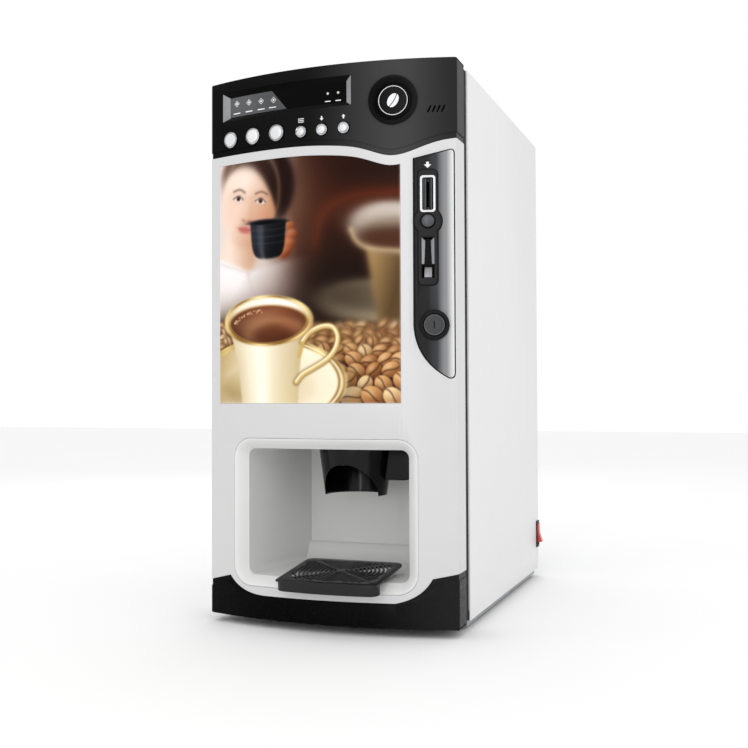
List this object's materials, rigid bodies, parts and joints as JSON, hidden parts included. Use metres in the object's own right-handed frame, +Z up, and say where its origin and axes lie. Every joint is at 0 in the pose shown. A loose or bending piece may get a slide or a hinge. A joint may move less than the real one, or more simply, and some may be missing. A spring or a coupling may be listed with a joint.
{
  "type": "hot coffee vending machine",
  "caption": "Tabletop hot drink vending machine with a bowed hinged door, control bezel, poster, coin unit, lock and a recessed cup station with a drip tray.",
  "frame": {"origin": "on the table surface, under the middle of the box round the whole machine", "axes": "+Z up, +X to the user's right when facing the door, +Y from the door towards the back panel"},
  "size_m": [0.3282, 0.5274, 0.67],
  "materials": {
    "white_abs": "gloss white moulded ABS",
    "black_gloss": "gloss black moulded ABS",
    "black_abs": "satin black moulded ABS",
    "grey_panel": "satin charcoal moulded ABS",
    "poster": "printed film behind clear acrylic",
    "smoked_acrylic": "smoked acrylic",
    "painted_steel": "light grey powder coat",
    "zinc_steel": "zinc plated sheet steel",
    "stainless": "brushed stainless steel",
    "chrome_keys": "satin chrome plated",
    "white_keys": "pearl white moulded plastic",
    "rubber": "moulded rubber",
    "clear_plastic": "milky polypropylene",
    "white_plastic": "white moulded nylon",
    "motor_metal": "grey zinc die casting",
    "dark_plastic": "dark grey moulded ABS",
    "circuit_board": "green solder mask",
    "silicone": "translucent silicone",
    "red_rocker": "translucent red polycarbonate"
  },
  "bodies": {
    "cabinet": {"base_pan": "zinc_steel", "feet": "rubber", "cabinet_shell": "painted_steel", "back_panel": "zinc_steel", "equipment_panel": "zinc_steel", "canister_shelf": "zinc_steel", "power_inlet": "black_abs", "fan_frame": "black_abs", "canisters": "clear_plastic", "auger_motors": "motor_metal", "mixing_bowls": "clear_plastic", "whipper_motors": "motor_metal", "boiler_tank": "stainless", "outlet_valves": "white_plastic", "silicone_tubes": "silicone", "water_pump": "motor_metal", "water_inlet": "white_plastic", "main_board": "circuit_board", "power_supply": "zinc_steel", "nozzle_block": "white_plastic", "hinge_brackets": "zinc_steel", "switch_frame": "black_abs", "coin_box": "zinc_steel"},
    "door": {"door_shell": "white_abs", "door_frame": "black_abs", "cup_station": "white_abs", "control_bezel": "black_gloss", "display_window": "smoked_acrylic", "display_board": "circuit_board", "badge": "black_gloss", "poster_panel": "poster", "coin_panel": "grey_panel", "coin_plate": "black_gloss", "coin_slot_frame": "white_keys", "coin_mech": "dark_plastic", "lock_body": "motor_metal", "base_cover": "black_gloss", "nozzle_shroud": "black_abs"},
    "fan_rotor": {"fan_rotor": "black_abs"},
    "canister_lid_1": {"canister_lid_1": "white_plastic"},
    "canister_lid_2": {"canister_lid_2": "white_plastic"},
    "canister_lid_3": {"canister_lid_3": "white_plastic"},
    "auger_1": {"auger_1": "white_plastic"},
    "auger_2": {"auger_2": "white_plastic"},
    "auger_3": {"auger_3": "white_plastic"},
    "whipper_1": {"whipper_1": "white_plastic"},
    "whipper_2": {"whipper_2": "white_plastic"},
    "whipper_3": {"whipper_3": "white_plastic"},
    "power_rocker": {"power_rocker": "red_rocker"},
    "select_button_1": {"select_button_1": "white_keys"},
    "select_button_2": {"select_button_2": "white_keys"},
    "select_button_3": {"select_button_3": "white_keys"},
    "set_button_1": {"set_button_1": "chrome_keys"},
    "set_button_2": {"set_button_2": "chrome_keys"},
    "set_button_3": {"set_button_3": "chrome_keys"},
    "coin_return_button": {"coin_return_button": "chrome_keys"},
    "coin_flap": {"coin_flap": "motor_metal"},
    "lock_core": {"lock_core": "black_abs"},
    "drip_tray": {"drip_tray": "black_abs"},
    "drip_grid": {"drip_grid": "black_abs"}
  },
  "joints": [
    {"name": "door_hinge", "type": "hinge", "parent": "cabinet", "child": "door", "pos_m": [-0.15414, -0.18133, 0.34], "axis": [0, 0, -1], "range_deg": [0, 110]},
    {"name": "fan_spin", "type": "hinge", "parent": "cabinet", "child": "fan_rotor", "pos_m": [0.07586, 0.23167, 0.56], "axis": [0, 1, 0], "continuous": true},
    {"name": "canister_lid_1_lift", "type": "slide", "parent": "cabinet", "child": "canister_lid_1", "axis": [0, 0, 1], "range_m": [0, 0.04]},
    {"name": "auger_1_spin", "type": "hinge", "parent": "cabinet", "child": "auger_1", "pos_m": [-0.10214, -0.01633, 0.44], "axis": [0, 1, 0], "continuous": true},
    {"name": "whipper_1_spin", "type": "hinge", "parent": "cabinet", "child": "whipper_1", "pos_m": [-0.10214, -0.11433, 0.34], "axis": [0, 1, 0], "continuous": true},
    {"name": "canister_lid_2_lift", "type": "slide", "parent": "cabinet", "child": "canister_lid_2", "axis": [0, 0, 1], "range_m": [0, 0.04]},
    {"name": "auger_2_spin", "type": "hinge", "parent": "cabinet", "child": "auger_2", "pos_m": [-0.00414, -0.01633, 0.44], "axis": [0, 1, 0], "continuous": true},
    {"name": "whipper_2_spin", "type": "hinge", "parent": "cabinet", "child": "whipper_2", "pos_m": [-0.00414, -0.11433, 0.34], "axis": [0, 1, 0], "continuous": true},
    {"name": "canister_lid_3_lift", "type": "slide", "parent": "cabinet", "child": "canister_lid_3", "axis": [0, 0, 1], "range_m": [0, 0.04]},
    {"name": "auger_3_spin", "type": "hinge", "parent": "cabinet", "child": "auger_3", "pos_m": [0.09386, -0.01633, 0.44], "axis": [0, 1, 0], "continuous": true},
    {"name": "whipper_3_spin", "type": "hinge", "parent": "cabinet", "child": "whipper_3", "pos_m": [0.09386, -0.11433, 0.34], "axis": [0, 1, 0], "continuous": true},
    {"name": "power_rocker_tilt", "type": "hinge", "parent": "cabinet", "child": "power_rocker", "pos_m": [0.14986, 0.23692, 0.0655], "axis": [0, 1, 0], "range_deg": [0, 20]},
    {"name": "select_button_1_press", "type": "slide", "parent": "door", "child": "select_button_1", "axis": [0.2421, 0.9702, 0], "range_m": [0, 0.0025], "stiffness_N_per_m": 400},
    {"name": "select_button_2_press", "type": "slide", "parent": "door", "child": "select_button_2", "axis": [0.1773, 0.9842, 0], "range_m": [0, 0.0025], "stiffness_N_per_m": 400},
    {"name": "select_button_3_press", "type": "slide", "parent": "door", "child": "select_button_3", "axis": [0.1125, 0.9937, 0], "range_m": [0, 0.0025], "stiffness_N_per_m": 400},
    {"name": "set_button_1_press", "type": "slide", "parent": "door", "child": "set_button_1", "axis": [0.0486, 0.9988, 0], "range_m": [0, 0.0025], "stiffness_N_per_m": 400},
    {"name": "set_button_2_press", "type": "slide", "parent": "door", "child": "set_button_2", "axis": [-0.0029, 1, 0], "range_m": [0, 0.0025], "stiffness_N_per_m": 400},
    {"name": "set_button_3_press", "type": "slide", "parent": "door", "child": "set_button_3", "axis": [-0.0553, 0.9985, 0], "range_m": [0, 0.0025], "stiffness_N_per_m": 400},
    {"name": "coin_return_press", "type": "slide", "parent": "door", "child": "coin_return_button", "axis": [-0.2431, 0.97, 0], "range_m": [0, 0.004], "stiffness_N_per_m": 400},
    {"name": "coin_flap_swing", "type": "hinge", "parent": "door", "child": "coin_flap", "pos_m": [0.12282, -0.22046, 0.4585], "axis": [-0.97, -0.2431, 0], "range_deg": [-60, 0]},
    {"name": "lock_turn", "type": "hinge", "parent": "door", "child": "lock_core", "pos_m": [0.13016, -0.22085, 0.3595], "axis": [-0.2561, 0.9667, 0], "range_deg": [-90, 0]},
    {"name": "drip_tray_lift", "type": "slide", "parent": "door", "child": "drip_tray", "axis": [0, 0, 1], "range_m": [0, 0.03]},
    {"name": "drip_grid_lift", "type": "slide", "parent": "drip_tray", "child": "drip_grid", "axis": [0, 0, 1], "range_m": [0, 0.03]}
  ]
}
